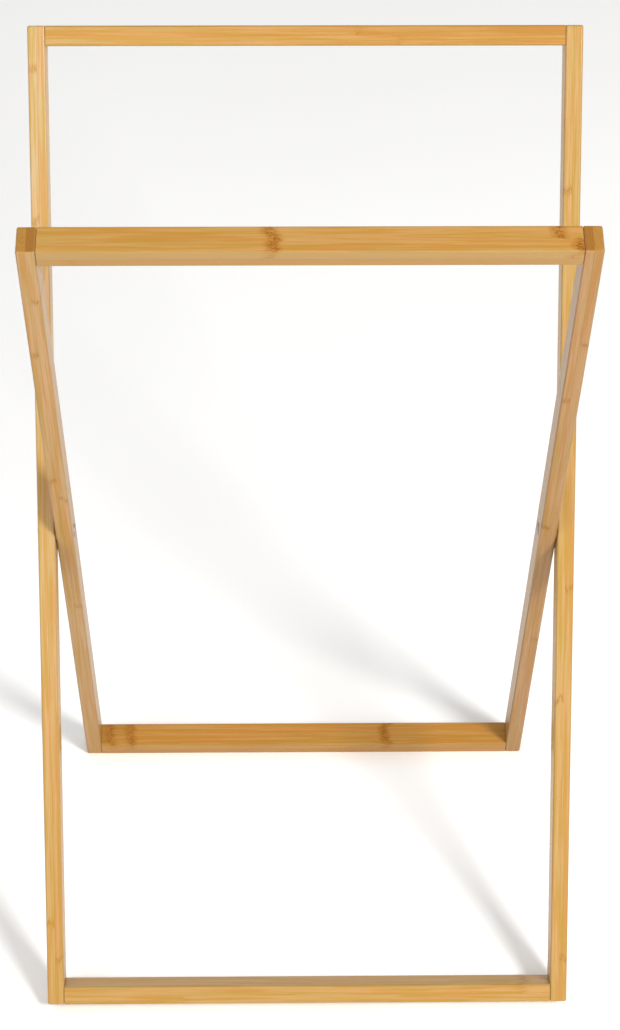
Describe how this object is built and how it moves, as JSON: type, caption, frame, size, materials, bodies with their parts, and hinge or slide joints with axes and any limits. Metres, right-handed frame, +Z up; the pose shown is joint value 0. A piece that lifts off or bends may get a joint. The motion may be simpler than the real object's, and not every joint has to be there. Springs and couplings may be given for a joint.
{
  "type": "towel rack",
  "caption": "Free-standing folding towel rack: two crossed rectangular bamboo frames turn on a shared mid-leg pivot and carry hanging rails at the top and bottom.",
  "frame": {"origin": "on the floor, straight below the middle of the pivot axis, halfway between the two pairs of feet", "axes": "+X to the right, along the rails and the pivot axis; +Y to the back, the way the tall outer frame leans; +Z up"},
  "size_m": [0.5016, 0.4758, 0.8182],
  "materials": {
    "bamboo": "satin clear lacquer over laminated bamboo strips",
    "dowel_wood": "bare beech",
    "screw_steel": "zinc plated",
    "pivot_steel": "dark nickel plated",
    "washer_nylon": "natural nylon, matt"
  },
  "bodies": {
    "outer_frame": {"outer_left_leg": "bamboo", "outer_right_leg": "bamboo", "outer_top_rail": "bamboo", "outer_bottom_rail": "bamboo", "outer_corner_screws": "screw_steel", "outer_corner_dowels": "dowel_wood", "left_pivot_bolt": "pivot_steel", "right_pivot_bolt": "pivot_steel", "left_sleeve_nut": "pivot_steel", "right_sleeve_nut": "pivot_steel", "left_pivot_washer": "washer_nylon", "right_pivot_washer": "washer_nylon", "left_stop_pin": "pivot_steel", "right_stop_pin": "pivot_steel"},
    "inner_frame": {"inner_left_leg": "bamboo", "inner_right_leg": "bamboo", "inner_top_rail": "bamboo", "inner_bottom_rail": "bamboo", "inner_corner_screws": "screw_steel", "inner_corner_dowels": "dowel_wood"}
  },
  "joints": [
    {"name": "fold", "type": "hinge", "parent": "outer_frame", "child": "inner_frame", "pos_m": [0, 0, 0.409], "axis": [-1, 0, 0], "range_deg": [0, 46.8]}
  ]
}
